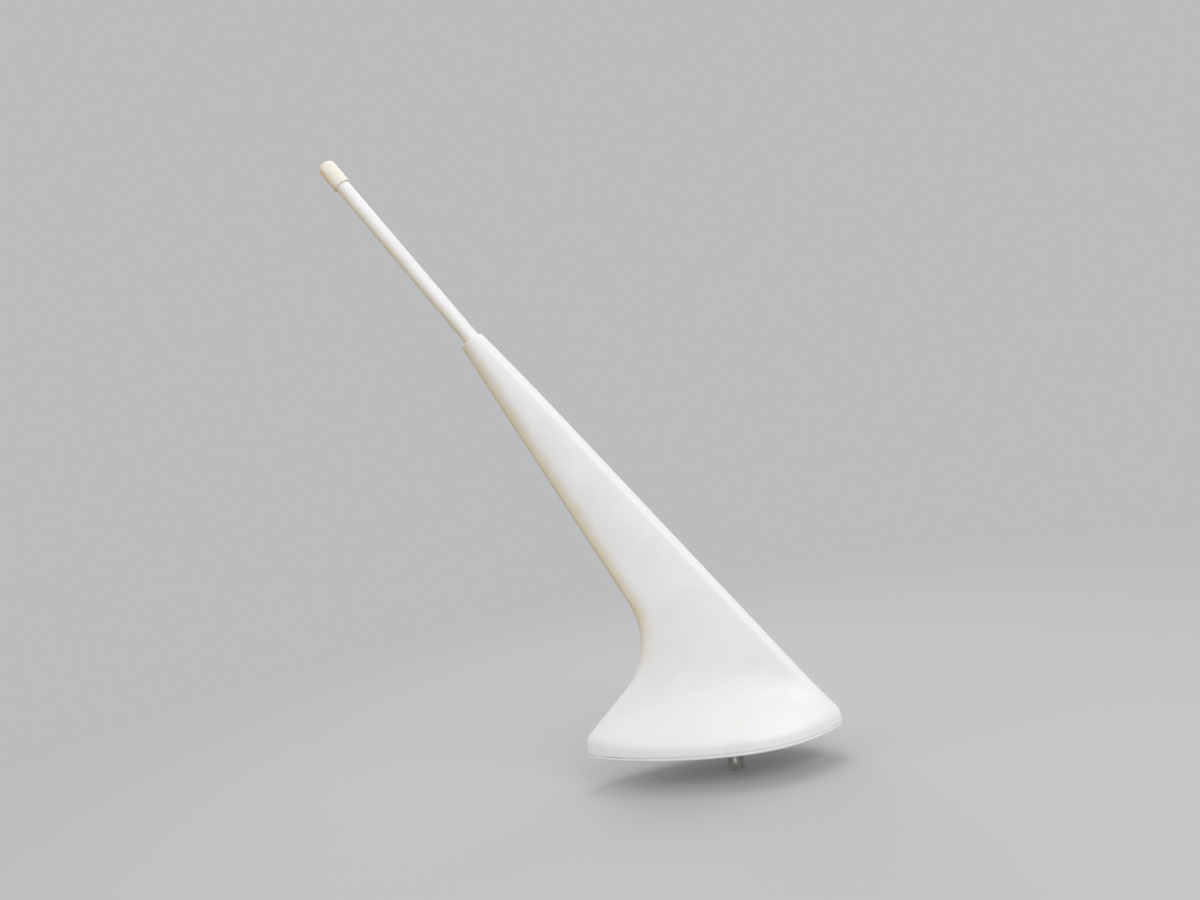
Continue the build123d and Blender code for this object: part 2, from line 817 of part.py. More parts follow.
strap_face = sheet_thickness / 2
with BuildPart() as feed_strap:
    with BuildSketch(Plane.XZ.offset(-strap_face)):
        with Locations((strap_x, (board_top + strap_top) / 2)):
            Rectangle(strap_width, strap_top - board_top)
        with Locations((strap_x, strap_rivet_level)):
            Circle(strap_rivet_radius + fit_gap, mode=Mode.SUBTRACT)
    extrude(amount=-strap_thickness)
    with BuildSketch(Plane.XY.offset(board_top)):
        with Locations((strap_x, strap_face + strap_thickness - strap_foot / 2)):
            Rectangle(strap_width, strap_foot)
    extrude(amount=strap_thickness)
feed_strap.part.label = "feed_strap"
export_step(feed_strap.part, "parts/feed_strap.step")

with BuildPart() as strap_rivet:
    grip = sheet_thickness + strap_thickness
    with BuildSketch(Plane.XZ.offset(strap_face)):
        with Locations((strap_x, strap_rivet_level)):
            Circle(strap_rivet_radius)
    extrude(amount=-grip)
    with BuildSketch(Plane.XZ.offset(strap_face)):
        with Locations((strap_x, strap_rivet_level)):
            Circle(rivet_head_radius)
    extrude(amount=rivet_head_height)
    with BuildSketch(Plane.XZ.offset(strap_face - grip)):
        with Locations((strap_x, strap_rivet_level)):
            Circle(rivet_head_radius)
    extrude(amount=-rivet_head_height)
strap_rivet.part.label = "strap_rivet"
export_step(strap_rivet.part, "parts/strap_rivet.step")
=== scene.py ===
# %% [markdown]
# # A swept aircraft antenna
# The antenna stands on the skin of an aircraft: a white blade on a teardrop base, and a thin rod that
# leans further aft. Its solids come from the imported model, the frame, and nothing here is moved. This
# script gives each piece the finish of the real one, remakes the moulded pieces as finer surfaces, adds
# the forms that are too small for the solids, and sets up the floor, the lamps and the camera.

import bmesh
import bpy
import json
import numpy as np
from math import cos, pi, radians, sin, tan
from mathutils import Matrix, Vector


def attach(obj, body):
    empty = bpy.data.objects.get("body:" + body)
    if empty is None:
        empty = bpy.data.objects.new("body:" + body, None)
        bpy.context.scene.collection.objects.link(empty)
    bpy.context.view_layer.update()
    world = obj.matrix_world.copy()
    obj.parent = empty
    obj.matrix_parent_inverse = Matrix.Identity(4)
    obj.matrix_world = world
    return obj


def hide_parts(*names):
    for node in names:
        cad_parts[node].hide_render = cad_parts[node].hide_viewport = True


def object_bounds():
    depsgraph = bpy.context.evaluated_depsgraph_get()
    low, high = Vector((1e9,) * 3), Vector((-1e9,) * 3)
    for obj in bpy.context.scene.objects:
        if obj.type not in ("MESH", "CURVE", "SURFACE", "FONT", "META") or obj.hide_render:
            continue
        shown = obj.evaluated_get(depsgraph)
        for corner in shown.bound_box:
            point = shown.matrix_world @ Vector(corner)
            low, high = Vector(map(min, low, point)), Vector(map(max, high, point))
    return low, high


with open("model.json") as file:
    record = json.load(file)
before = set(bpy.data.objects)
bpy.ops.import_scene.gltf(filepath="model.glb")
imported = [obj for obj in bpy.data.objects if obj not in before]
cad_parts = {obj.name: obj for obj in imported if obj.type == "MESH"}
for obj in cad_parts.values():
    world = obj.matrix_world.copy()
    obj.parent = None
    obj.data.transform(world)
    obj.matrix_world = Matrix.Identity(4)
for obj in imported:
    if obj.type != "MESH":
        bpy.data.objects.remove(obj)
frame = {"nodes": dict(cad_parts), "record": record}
nodes = frame["nodes"]
cad_low, cad_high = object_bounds()
print("solids:", len(nodes), "box", cad_low[:], cad_high[:])

# %% [markdown]
# ## Camera
# The view comes from the photograph: the long side of the base, its upright and the lean of the rod fix
# where the lens stood. The picture is 1200 pixels wide and the fitted focal length is 960 pixels, which
# is a 28.8 mm lens on a 36 mm sensor. The antenna was lying back when it was taken, so the camera is
# rolled instead of the antenna.

# %% Camera
picture_width = 1200
focal_pixels = 960
sensor_width = 36.0
camera_place = Vector((0.04416, -0.57599, 0.18764))
camera_heading = radians(8.98)
camera_pitch = radians(-0.27)
camera_roll = radians(-10.49)

lens = bpy.data.cameras.new("photo_lens")
lens.sensor_width = sensor_width
lens.lens = sensor_width * focal_pixels / picture_width
lens.clip_start = 0.01
lens.clip_end = 100.0
camera = bpy.data.objects.new("photo_camera", lens)
turn = (
    Matrix.Rotation(camera_heading, 4, "Z")
    @ Matrix.Rotation(pi / 2 + camera_pitch, 4, "X")
    @ Matrix.Rotation(camera_roll, 4, "Z")
)
camera.matrix_world = Matrix.Translation(camera_place) @ turn
bpy.context.scene.collection.objects.link(camera)
bpy.context.scene.camera = camera
bpy.context.scene.view_settings.view_transform = "Standard"
print("lens", lens.lens, "mm")

# %% [markdown]
# ## Helpers for meshes
# Every new surface here is a grid of points worked out with numpy, in millimetres. One helper lists the
# quads of a grid, one gives the legs of a rounded edge, and others turn points and faces into a Blender
# object that rides on the antenna.

# %% Mesh helpers
millimetre = 0.001


def grid_quads(rows, columns, closed_rows):
    """Quads between neighbouring points of a grid; columns always close, rows close where asked."""
    first_rows = np.arange(rows if closed_rows else rows - 1)
    row, column = np.meshgrid(first_rows, np.arange(columns), indexing="ij")
    next_row = (row + 1) % rows
    next_column = (column + 1) % columns
    corners = (
        row * columns + column,
        row * columns + next_column,
        next_row * columns + next_column,
        next_row * columns + column,
    )
    return np.stack(corners, axis=-1).reshape(-1, 4)


def quarter_round(radius, turn):
    """Both legs of a rounded edge at a turn: the radius times 1 - cos turn, and times 1 - sin turn."""
    return radius * (1 - np.cos(turn)), radius * (1 - np.sin(turn))


def enclosed_volume(points, faces):
    """Signed volume: the sum, over triangles, of the box product of their corners, by six."""
    triangles = [(face[0], face[i], face[i + 1]) for face in faces for i in range(1, len(face) - 1)]
    corners = points[np.array(triangles)]
    return np.einsum("ij,ij->i", corners[:, 0], np.cross(corners[:, 1], corners[:, 2])).sum() / 6


def add_piece(name, mesh, replaced=None):
    """Object for a mesh, which rides on the antenna and stands for a CAD node where one is given."""
    piece = bpy.data.objects.new(name, mesh)
    bpy.context.scene.collection.objects.link(piece)
    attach(piece, "root")
    if replaced:
        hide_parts(replaced)
    return piece


def make_piece(name, points, faces, replaced=None, crease=35.0):
    """Object from points in millimetres, smooth except where faces meet at more than the crease angle."""
    points = points.reshape(-1, 3)
    faces = faces.tolist() if isinstance(faces, np.ndarray) else faces
    volume = enclosed_volume(points, faces)
    if volume < 0:
        faces = [face[::-1] for face in faces]
    mesh = bpy.data.meshes.new(name)
    mesh.from_pydata((points * millimetre).tolist(), [], faces)
    mesh.polygons.foreach_set("use_smooth", np.ones(len(faces), dtype=bool))
    mesh.set_sharp_from_angle(angle=radians(crease))
    print(name, len(faces), "faces", round(abs(volume) / 1000, 2), "cubic centimetres")
    return add_piece(name, mesh, replaced)


def make_loop(name, rows, replaced):
    """Piece from a grid that closes both ways, so that its last row joins its first."""
    return make_piece(name, rows, grid_quads(len(rows), rows.shape[1], True), replaced)


def read_vectors(items, name):
    """A vector property of every vertex or face of a mesh, as an array with a row for each."""
    values = np.empty(3 * len(items))
    items.foreach_get(name, values)
    return values.reshape(-1, 3)


def mark_points(piece, name, values):
    """Store a number at every point of a piece, for its material to read."""
    layer = piece.data.attributes.new(name, "FLOAT", "POINT")
    layer.data.foreach_set("value", np.asarray(values, dtype=np.float32).ravel())


# %% [markdown]
# ## The blade's outer form
# The blade is a stack of pointed ovals. Straight lines joined by arcs say how far forward, how far aft
# and how wide each oval is at its height, and each oval is four arcs with two round tips. It could be
# sculpted, but numbers keep it equal to the solid model. Here the same rules work on whole arrays of
# heights, so one call gives the whole skin. The rim's corner and the foot of the heel, which are sharp
# in the solid, are softened as paint softens them.

# %% Rules of the outer form
# Lengths are in millimetres, with x forward and z up. A root is where a line would cross height 0.
base_front = 66.1
base_aft = -88.4
base_half_width = 33.5
rim_top = 9.0
shoulder_blend = 3.0
heel_blend = 3.6
leading_root = 70.7
leading_slope = -tan(radians(33.2))
foot_slope = -tan(radians(36.1))
foot_radius = 300.0
bend_start = 210.0
bend_depth = 1.5
loft_top = 273.0
trailing_root = -8.1
trailing_slope = -tan(radians(23.17))
heel_foot = 11.5
heel_slope = 1 / tan(radians(41.3))
heel_radius = 46.6
flare_slope = -1 / tan(radians(40.0))
flare_radius = 34.0
blade_half_root = 7.6
blade_half_top = 6.6
nose_radius = 6.2
tail_radius = 4.2
widest_share_low = 0.365
widest_share_high = 0.5
inner_round_share = 0.8
top_centre = np.array([-112.8, 0.0, 266.2])
top_tilt = radians(24.0)


def joined_lines(height, low_line, high_line, radius):
    """Two straight lines joined by an arc: below and above the arc each line, between them the circle."""
    low_value, low_slope = low_line
    high_value, high_slope = high_line
    corner_height = (high_value - low_value) / (low_slope - high_slope)
    corner = np.array([low_value + low_slope * corner_height, corner_height])
    down = -np.array([low_slope, 1.0]) / np.hypot(low_slope, 1.0)
    up = np.array([high_slope, 1.0]) / np.hypot(high_slope, 1.0)
    half_angle = np.arccos(down @ up) / 2
    towards_centre = (down + up) / np.linalg.norm(down + up)
    centre = corner + towards_centre * radius / sin(half_angle)
    reach = radius / tan(half_angle)
    side = np.sign(corner[0] - centre[0])
    arc = centre[0] + side * np.sqrt(np.maximum(radius**2 - (height - centre[1]) ** 2, 0))
    above = np.where(height >= corner[1] + up[1] * reach, high_value + high_slope * height, arc)
    return np.where(height <= corner[1] + down[1] * reach, low_value + low_slope * height, above)


def softly_above(height, floor, blend):
    """The larger of a height and a floor, with the corner blended: a parabola joins the two."""
    parabola = floor + (height - floor + blend) ** 2 / (4 * blend)
    return np.where(np.abs(height - floor) < blend, parabola, np.maximum(height, floor))


def soft_level(height):
    """Height with the rim's corner blended: constant below, itself above."""
    return softly_above(height, rim_top, shoulder_blend)


def leading_edge(level):
    """Place of the leading edge: two lines joined by an arc, less a bend that grows as a square."""
    foot_line = (base_front - rim_top * foot_slope, foot_slope)
    straight = joined_lines(level, foot_line, (leading_root, leading_slope), foot_radius)
    share_of_bend = np.maximum(level - bend_start, 0) / (loft_top - bend_start)
    return straight - bend_depth * share_of_bend**2


def trailing_edge(level):
    """Place of the trailing edge: the heel's line and the blade's, joined by a hollow arc."""
    heel_line = (base_aft - heel_foot * heel_slope, heel_slope)
    above_foot = softly_above(level, heel_foot, heel_blend)
    return joined_lines(above_foot, heel_line, (trailing_root, trailing_slope), heel_radius)


def half_thickness(level):
    """Half the oval's width: the flare's line and the blade's, joined by an arc."""
    flare_line = (base_half_width - rim_top * flare_slope, flare_slope)
    blade_line = (blade_half_root, (blade_half_top - blade_half_root) / top_centre[2])
    return joined_lines(level, flare_line, blade_line, flare_radius)


# %% [markdown]
# The columns of the grid run once around the oval. Each knows which quarter it is in, and whether it lies
# on the long side arc or on the round tip.

# %% Columns of the grid
side_count = 28
tip_count = 12
quarter_step = np.concatenate([np.arange(side_count) / side_count, np.linspace(0, 1, tip_count)])
quarter_on_tip = np.repeat([False, True], (side_count, tip_count))
forth = np.arange(len(quarter_step))
back = forth[::-1]
order = np.concatenate([forth, back[1:], forth[1:], back[1:-1]])
lengths = (len(forth), len(forth) - 1, len(forth) - 1, len(forth) - 2)
column_step = quarter_step[order]
column_on_tip = quarter_on_tip[order]
column_ahead = np.repeat([True, True, False, False], lengths)
column_hand = np.repeat([1.0, -1.0, -1.0, 1.0], lengths)
columns = len(order)
print("columns around the oval:", columns)


def oval_point(level, inset=0.0, height=None):
    """Points of the oval at a level, drawn in by inset.

    A side arc of radius R turns by phi from the widest station: x = R sin phi, y = w - R (1 - cos phi).
    It ends where it is tangent to the tip's circle, which goes on to straight ahead or straight aft.
    """
    front = leading_edge(level)
    aft = trailing_edge(level)
    share = widest_share_low + (widest_share_high - widest_share_low) * (level - rim_top) / loft_top
    widest = front - (front - aft) * share
    length = np.where(column_ahead, front - widest, widest - aft) - inset
    tip = np.where(column_ahead, nose_radius, tail_radius) - inner_round_share * inset
    half = half_thickness(level) - inset
    reach = length - tip
    radius = (reach**2 + half**2 - tip**2) / (2 * (half - tip))
    last = np.arctan2(reach, radius - half)
    turn = np.where(column_on_tip, last + (pi / 2 - last) * column_step, last * column_step)
    x = np.where(column_on_tip, reach + tip * np.sin(turn), radius * np.sin(turn))
    y = np.where(column_on_tip, tip * np.cos(turn), half - radius + radius * np.cos(turn))
    height = level if height is None else height
    parts = (widest + np.where(column_ahead, x, -x), column_hand * y, height)
    return np.stack(np.broadcast_arrays(*parts), axis=-1)


def rows_at(heights, inset=0.0):
    """Rows of the outer skin at the given heights, each with its own inset."""
    heights = np.asarray(heights, dtype=float)[:, None]
    inset = np.broadcast_to(np.asarray(inset, dtype=float), heights.shape[:1])[:, None]
    return oval_point(soft_level(heights), inset, heights)


# %% [markdown]
# ## Directions at the whip
# The whip leans further aft than the blade. Everything on it is turned about its axis, so one function
# gives points around that axis, and the blade's top face is a plane that lies nearly square to it.

# %% Whip's axis
whip_sweep = radians(30.2)
whip_along = np.array([-sin(whip_sweep), 0.0, cos(whip_sweep)])
whip_forward = np.array([cos(whip_sweep), 0.0, sin(whip_sweep)])
whip_left = np.array([0.0, 1.0, 0.0])
top_normal = np.array([-sin(top_tilt), 0.0, cos(top_tilt)])
settling_rounds = 40


def around_whip(distance, radius, angle):
    """Point at a distance along the whip's axis, a radius from it, and an angle from its forward side."""
    distance, radius, angle = (a[..., None] for a in np.broadcast_arrays(distance, radius, angle))
    outward = np.cos(angle) * whip_forward + np.sin(angle) * whip_left
    return top_centre + distance * whip_along + radius * outward


def rise_to_top(radius, angle, height):
    """Distance along the axis at which a line beside it is a height above the top face."""
    sideways = radius * np.cos(angle) * (top_normal @ whip_forward)
    return (height - sideways) / (top_normal @ whip_along)


def level_under_top(depth):
    """Level in each column that lies a depth below the top face, found by repeated substitution."""
    level = np.full(columns, top_centre[2])
    for _ in range(settling_rounds):
        ahead = oval_point(level)[:, 0] - top_centre[0]
        level = top_centre[2] + (ahead * sin(top_tilt) - depth) / cos(top_tilt)
    return level


# %% [markdown]
# ## Fairing
# On the real antenna the blade is one hollow moulding, sprayed white. A thick sheet bent round with a
# Solidify modifier would do for the outside, but the head that holds the whip is solid. So the surface
# here is one closed grid: up the outside, over the rounded top edge, down the whip's bore, along the
# hollow's wall and back under the rim. Paint and adhesive leave a small fillet where the whip comes out.
# The top edge and that fillet share the room that the top face has around the whip.

# %% Fairing's outside
seat = 2.4
rim_edge_round = 0.35
rim_wall_start = 4.0
foot_top = 60.0
top_edge_round = 1.8
top_edge_share = 0.75
paint_fillet = 0.6
paint_fillet_share = 0.2
bore_radius = 5.03
tube_radius = 5.0

rim_rise, rim_inset = quarter_round(rim_edge_round, np.radians([0, 30, 60, 90]))
rim_rows = rows_at(seat + rim_rise, rim_inset)
low_heights = np.concatenate([
    np.linspace(rim_wall_start, rim_top - shoulder_blend, 4),
    np.linspace(rim_top - shoulder_blend, rim_top + shoulder_blend, 11)[1:-1],
    np.linspace(rim_top + shoulder_blend, foot_top, 34),
])
low_rows = rows_at(low_heights)

top_outline = oval_point(level_under_top(0.0))
angle_at_top = np.arctan2(top_outline[:, 1], (top_outline - top_centre) @ whip_forward)
bore_at_top = around_whip(rise_to_top(bore_radius, angle_at_top, 0.0), bore_radius, angle_at_top)
room = np.linalg.norm(top_outline - bore_at_top, axis=1)
edge_round = np.minimum(top_edge_round, top_edge_share * room)
joint_fillet = np.minimum(paint_fillet, paint_fillet_share * room)
print("room around the whip", room.min().round(2), "to", room.max().round(2), "mm")

share_up = np.linspace(0, 1, 46)[1:, None]
blade_levels = foot_top + share_up * (level_under_top(edge_round) - foot_top)
blade_rows = oval_point(blade_levels)

edge_turn = np.radians(np.linspace(0, 90, 8))[1:, None]
edge_inset, edge_depth = quarter_round(edge_round, edge_turn)
tangent = np.roll(top_outline, -1, axis=0) - np.roll(top_outline, 1, axis=0)
inward = np.cross(tangent, top_normal)
inward /= np.linalg.norm(inward, axis=1)[:, None]
inward *= np.sign(np.einsum("ij,ij->i", inward, top_centre - top_outline))[:, None]
edge_levels = np.stack([level_under_top(depth) for depth in edge_depth])
edge_rows = oval_point(edge_levels) + edge_inset[..., None] * inward

# %% Fairing's bore and hollow
fillet_height, fillet_out = quarter_round(joint_fillet, np.radians(np.linspace(0, 90, 5))[:, None])
fillet_radius = bore_radius + fillet_out
fillet_distance = rise_to_top(fillet_radius, angle_at_top, fillet_height)
fillet_rows = around_whip(fillet_distance, fillet_radius, angle_at_top)

# The hollow copies the outline from a little higher up, which keeps the wall thick where it slopes
wall = 2.2
wall_drop = 1.7
cavity_top = 222.0
cavity_plain = 212.0
cavity_rim = 7.0
maximum_power = 14.0


def hollow_row(height, bore_share):
    """Row of the hollow's wall, the larger of the oval and the bore's ellipse in each direction.

    The two radii are joined by a root of powers, (a^p + b^p)^(1/p), a smooth form of the maximum.
    """
    level = np.maximum(height + wall_drop, rim_top)
    outline = oval_point(level, wall, height)
    centre = top_centre + whip_along * (height - top_centre[2]) / whip_along[2]
    across = outline - centre
    direction = np.arctan2(across[:, 1], across[:, 0])
    oval_radius = np.hypot(across[:, 0], across[:, 1])
    ellipse = np.hypot(np.cos(direction) * cos(whip_sweep), np.sin(direction)) / (bore_radius * bore_share)
    radius = (oval_radius**maximum_power + ellipse**-maximum_power) ** (1 / maximum_power)
    outward = np.stack([np.cos(direction), np.sin(direction), 0 * direction], axis=-1)
    return centre + radius[:, None] * outward


# A row lies at each millimetre below the ceiling, and the bore's share of it shrinks to nothing
bore_shares = (1.0, 1.0, 1.0, 1.0, 0.97, 0.92, 0.85, 0.75, 0.6)
union_rows = np.stack([hollow_row(cavity_top - depth, share) for depth, share in enumerate(bore_shares)])

ceiling_centre = top_centre + whip_along * (cavity_top - top_centre[2]) / whip_along[2]
ceiling = union_rows[0] - ceiling_centre
angle_at_ceiling = np.arctan2(ceiling[:, 1], ceiling[:, 0] * cos(whip_sweep))
share_down = np.linspace(0, 1, 8)[1:, None]
angle_down = angle_at_top + share_down * (np.unwrap(angle_at_ceiling - angle_at_top + pi) - pi)
bore_top = rise_to_top(bore_radius, angle_at_top, joint_fillet)
bore_side_rise = bore_radius * np.cos(angle_at_ceiling) * whip_forward[2]
bore_low = (cavity_top - top_centre[2] - bore_side_rise) / whip_along[2]
bore_rows = around_whip(bore_top + share_down * (bore_low - bore_top), bore_radius, angle_down)

cavity_blade = np.linspace(cavity_plain, foot_top, 30)
cavity_foot = np.linspace(foot_top, cavity_rim, 24)[1:]
cavity_heights = np.concatenate([cavity_blade, cavity_foot])[:, None]
cavity_rows = oval_point(np.maximum(cavity_heights + wall_drop, rim_top), wall, cavity_heights)
rim_inside = oval_point(np.full((1, 1), rim_top), wall, np.full((1, 1), seat))

# %% Join the fairing
fairing_rows = np.concatenate([
    rim_rows, low_rows, blade_rows, edge_rows, fillet_rows, bore_rows, union_rows, cavity_rows, rim_inside
])
fairing_skin = make_loop("fairing_skin", fairing_rows, "fairing")


def distance_from_tail(points):
    """Distance forward of the trailing edge at each point's own height, in metres."""
    return (points[:, 0] - trailing_edge(soft_level(points[:, 2]))) * millimetre


mark_points(fairing_skin, "from_tail", distance_from_tail(fairing_rows.reshape(-1, 3)))

# %% [markdown]
# ## Whip
# The rod is a glass-fibre tube that tapers slightly, with a brass wire in it. A cylinder with its bore
# cut out would do, but turning a profile about the axis gives it in one step: up the outside, over the
# end, and back down the bore.

# %% Whip tube
tube_columns = 72
whip_bottom = -50.0
whip_end = 144.2
tube_tip_radius = 4.65
wire_bore = 1.63
chamfer = 0.3
chamfer_length = 0.4
cream_shade_stretch = 1.9


def profile_of(distance, radius):
    """Profile points: pairs of a distance along the whip and a radius, either of them a single number."""
    return np.stack(np.broadcast_arrays(distance, radius), axis=-1)


def lathe(profile, angles):
    """Grid of a profile turned about the whip's axis: each of its points at each of the angles."""
    return around_whip(profile[:, :1], profile[:, 1:], angles[None, :])


def full_turn(count):
    """Angles at equal steps once around."""
    return np.arange(count) * 2 * pi / count


tube_low = [whip_bottom, whip_bottom + chamfer_length]
tube_distance = np.concatenate([tube_low, np.linspace(0.0, whip_end - chamfer, 60)])
tube_taper = np.maximum(tube_distance, 0) / whip_end
tube_outside = profile_of(tube_distance, tube_radius + (tube_tip_radius - tube_radius) * tube_taper)
tube_outside[0, 1] -= chamfer
tube_end = [(whip_end, tube_tip_radius - chamfer), (whip_end, wire_bore)]
tube_inside = profile_of(np.linspace(whip_end, whip_bottom, 12)[1:], wire_bore)
tube_rows = lathe(np.concatenate([tube_outside, tube_end, tube_inside]), full_turn(tube_columns))
whip_skin = make_loop("whip_skin", tube_rows, "whip_tube")


def distance_from_aft(points, radius, stretch=1.0):
    """Distance forward of the aft side of a piece on the whip, drawn out by stretch, in metres."""
    return ((points - top_centre) @ whip_forward + radius) * stretch * millimetre


# Painted shade on the rod: the stretch narrows the cream band to the rod's aft side
tube_marks = distance_from_aft(tube_rows.reshape(-1, 3), tube_radius, cream_shade_stretch)
mark_points(whip_skin, "from_tail", tube_marks)

# %% [markdown]
# ## Cap
# The cap is a small moulding pushed over the end of the rod. Its skin is drawn in by a few hundredths
# except along two lines where the halves of the mould met, and the gate has left a shallow dimple on the
# end. The profile starts and ends on the axis, so both ends of the grid close in a fan of triangles.

# %% Tip cap
cap_columns = 96
cap_radius = 5.75
cap_start = 128.3
cap_end = 146.3
cap_round = 3.6
mouth_round = 0.4
cap_bore = 4.74
cap_floor = 144.25
mouth_chamfer = 0.25
bore_middle = 136.0
gate_radius = 0.9
gate_depth = 0.18
mould_line_height = 0.05
mould_line_width = 0.05
mould_line_fade = (3.0, 4.0)


def close_poles(rows, first, last):
    """Points and faces of a grid whose first and last rows each close on a single point."""
    count, across = rows.shape[:2]
    points = np.concatenate([[first], rows.reshape(-1, 3), [last]])
    faces = (grid_quads(count, across, False) + 1).tolist()
    around = np.arange(across)
    onward = (around + 1) % across
    start = 1 + (count - 1) * across
    faces += np.stack([0 * around, 1 + onward, 1 + around], axis=-1).tolist()
    faces += np.stack([0 * around + len(points) - 1, start + around, start + onward], axis=-1).tolist()
    return points, faces


gate_share = np.linspace(0.25, 1.0, 4)
gate = profile_of(cap_end - gate_depth * (1 - gate_share**2) ** 2, gate_radius * gate_share)
dome_inset, dome_drop = quarter_round(cap_round, np.radians(np.linspace(90, 0, 14)))
dome = profile_of(cap_end - dome_drop, cap_radius - dome_inset)
side = profile_of(np.linspace(cap_end - cap_round, cap_start + mouth_round, 10)[1:], cap_radius)
mouth_inset, mouth_rise = quarter_round(mouth_round, np.radians(np.linspace(0, 90, 5))[1:])
mouth = profile_of(cap_start + mouth_rise, cap_radius - mouth_inset)
chamfered = [(cap_start, cap_bore + mouth_chamfer), (cap_start + mouth_chamfer, cap_bore)]
bore = [(bore_middle, cap_bore), (cap_floor, cap_bore)]
cap_profile = np.concatenate([gate, dome, side, mouth, chamfered, bore])

# Between the mould lines the outside is drawn in, but not the gate's middle, the mouth or the bore
cap_angles = full_turn(cap_columns)
mould_line = np.exp(-((np.sin(cap_angles) / mould_line_width) ** 2))
drawn_in = mould_line_height * (1 - mould_line)
fade_inner, fade_outer = mould_line_fade
outer_share = np.clip((cap_profile[:, 1:] - fade_inner) / (fade_outer - fade_inner), 0, 1)
outer_share[len(gate) + len(dome) + len(side):] = 0
cap_outline = cap_profile[:, 1:] - outer_share * drawn_in
cap_rows = around_whip(cap_profile[:, :1], cap_outline, cap_angles[None, :])
cap_first = top_centre + whip_along * (cap_end - gate_depth)
cap_last = top_centre + whip_along * cap_floor
cap_points, cap_faces = close_poles(cap_rows, cap_first, cap_last)
cap_skin = make_piece("cap_skin", cap_points, cap_faces, "tip_cap")
mark_points(cap_skin, "from_tail", distance_from_aft(cap_points, cap_radius))

# %% [markdown]
# ## Sealant
# A thin bead closes the seam between the fairing and the base plate, and another the joint below the cap.
# Both were wiped by hand, so their faces wander by a tenth of a millimetre. A few sines of unequal
# wavelength along the bead give that wander and still join up where the bead meets itself.


# %% Beads of sealant
def wander(share, waves):
    """Sum of sines that repeats once around; each has a whole number of turns, a height and a phase."""
    return sum(height * np.sin(2 * pi * turns * share + phase) for turns, height, phase in waves)


around_seam = np.arange(columns) / columns
seam_waves = ((3, 0.04, 0.4), (7, 0.03, 2.0), (17, 0.02, 1.1), (41, 0.01, 5.0))
seam_inset = 0.2
seam_hollow = 0.06
seam_low = 2.0
seam_face = seam_inset + wander(around_seam, seam_waves)
seam_back = np.full(columns, wall)
# Corners of the bead: the inset, and the share of the way up from the plate to the rim
seam_profile = (
    (seam_back, 0.0), (seam_face, 0.0), (seam_face + seam_hollow, 0.3),
    (seam_face + seam_hollow, 0.7), (seam_face, 1.0), (seam_back, 1.0),
)
rim_level = np.full(columns, rim_top)
seam_rows = np.stack([
    oval_point(rim_level, inset, np.full(columns, seam_low + lift * (seat - seam_low)))
    for inset, lift in seam_profile
])
seam_bead = make_loop("seam_bead", seam_rows, "seam_sealant")

bead_columns = 72
bead_length = 0.5
bead_radius = 5.06
bead_waves = ((2, 0.05, 0.3), (5, 0.04, 1.7), (11, 0.03, 4.0))
bead_angles = full_turn(bead_columns)
bead_crest = bead_radius + wander(bead_angles / (2 * pi), bead_waves)
bead_profile = ((0.0, 0.0), (0.25, 0.55), (0.6, 0.9), (1.0, 1.0), (1.0, 0.0))
bead_rows = np.stack([
    around_whip(cap_start - bead_length * (1 - up), cap_bore + out * (bead_crest - cap_bore), bead_angles)
    for up, out in bead_profile
])
cap_bead = make_loop("cap_bead", bead_rows, "cap_sealant")

# %% [markdown]
# ## Threads
# The four fixing holes have steel sleeves with a thread, which the solids leave off. A thread is a small
# blunt triangle carried along a helix, so the surface is that section repeated around and up the bore.

# %% Threads in the four inserts
thread_pitch = 0.7
thread_outer = 2.02
thread_inner = 1.64
thread_steps = 28
insert_low = 0.5
insert_high = 9.1
hole_x = 32.0
hole_y = 14.0
# Corners of the ridge's section: the radius, and the height above its start
thread_section = np.array([
    (thread_outer, 0.05), (thread_inner, 0.27), (thread_inner, 0.38), (thread_outer, 0.6)
])


def helical_ridge(centre_x, centre_y):
    """Ridge along a helix: the section's four corners, at their own radii, rise by one pitch a turn."""
    turns = (insert_high - insert_low - thread_pitch) / thread_pitch
    angle = np.linspace(0, 2 * pi * turns, int(turns * thread_steps))[:, None]
    section_radius, section_height = thread_section.T
    height = insert_low + thread_pitch * angle / (2 * pi) + section_height
    x = centre_x + section_radius * np.cos(angle)
    y = centre_y + section_radius * np.sin(angle)
    return np.stack(np.broadcast_arrays(x, y, height), axis=-1)


thread_points = []
thread_faces = []
for centre_x, centre_y in ((-hole_x, -hole_y), (-hole_x, hole_y), (hole_x, -hole_y), (hole_x, hole_y)):
    ridge = helical_ridge(centre_x, centre_y)
    start = sum(len(points) for points in thread_points)
    thread_faces += (grid_quads(len(ridge), 4, False) + start).tolist()
    end = start + ridge.shape[0] * 4
    thread_faces += [[start + 3, start + 2, start + 1, start], [end - 4, end - 3, end - 2, end - 1]]
    thread_points.append(ridge.reshape(-1, 3))
insert_threads = make_piece(
    "insert_threads", np.concatenate(thread_points), thread_faces, crease=50.0
)

# %% [markdown]
# ## Metal pieces with broken edges
# The base plate and the connector are machined, and a machinist breaks every edge. Most edges of the
# solids are sharp and never catch the light. A copy of the node, with its loose triangles merged back
# into flat faces and a small bevel on its sharp edges, stands in for it. Level faces are shaded flat,
# because the smooth shading of the rounds beside them would run in across the whole face. The plate's
# rounded rim is made of coarse triangles, so only corners over 50 degrees count as edges there.

# %% Broken edges
same_place = 2e-6
flat_angle = 0.5
level_upright = 0.999


